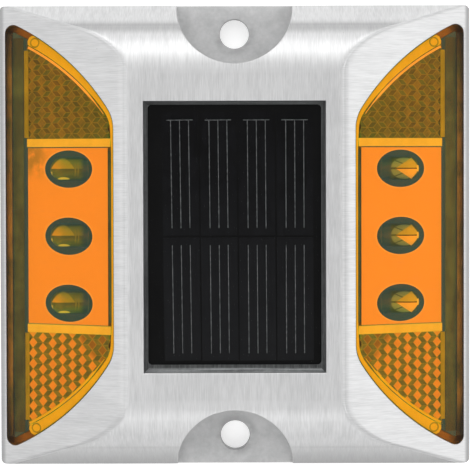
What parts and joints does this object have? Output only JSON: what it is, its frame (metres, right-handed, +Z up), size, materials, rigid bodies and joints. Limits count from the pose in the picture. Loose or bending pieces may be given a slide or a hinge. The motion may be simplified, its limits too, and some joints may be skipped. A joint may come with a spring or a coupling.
{
  "type": "raised pavement marker",
  "caption": "Square cast road stud with sloped approach faces, amber lamp and prism lenses, a solar panel in its top and a bolt lug on each side.",
  "frame": {"origin": "centre of the flat underside that lies on the road", "axes": "+Z up from the road; +X and -X towards the traffic that each lens faces; Y along the line of the two bolts"},
  "size_m": [0.1, 0.0974, 0.02],
  "materials": {
    "cast_aluminium": "brushed",
    "potting_resin": "satin",
    "sealant": "matt",
    "panel_laminate": "gloss",
    "silicon": "gloss",
    "silver_print": "satin",
    "clear_window": "polished",
    "amber_lens": "polished",
    "amber_prism": "polished",
    "white_plate": "satin",
    "lamp_epoxy": "polished",
    "tinned_steel": "bright",
    "lamp_die": "gloss",
    "circuit_board": "satin",
    "chip_black": "matt",
    "tinned_legs": "bright",
    "ferrite": "matt",
    "copper": "enamelled",
    "can_sleeve": "gloss",
    "resistor_body": "matt",
    "diode_body": "gloss",
    "cell_wrap": "gloss",
    "nickel": "bright",
    "wire_sheath": "satin"
  },
  "bodies": {
    "root": {"housing": "cast_aluminium", "potting": "potting_resin", "panel_seal": "sealant", "panel_board": "panel_laminate", "solar_cells": "silicon", "cell_fingers": "silver_print", "panel_window": "clear_window", "right_lens": "amber_lens", "left_lens": "amber_lens", "right_prisms": "amber_prism", "left_prisms": "amber_prism", "right_lamp_plate": "white_plate", "left_lamp_plate": "white_plate", "right_lamps": "lamp_epoxy", "left_lamps": "lamp_epoxy", "right_leadframes": "tinned_steel", "left_leadframes": "tinned_steel", "lamp_dies": "lamp_die", "right_lamp_board": "circuit_board", "left_lamp_board": "circuit_board", "main_board": "circuit_board", "controller": "chip_black", "controller_legs": "tinned_legs", "coil_core": "ferrite", "coil_winding": "copper", "capacitor": "can_sleeve", "resistors": "resistor_body", "diode": "diode_body", "battery": "cell_wrap", "battery_tabs": "nickel", "battery_wires": "wire_sheath", "solar_wires": "wire_sheath", "right_lamp_wires": "wire_sheath", "left_lamp_wires": "wire_sheath"}
  },
  "joints": []
}
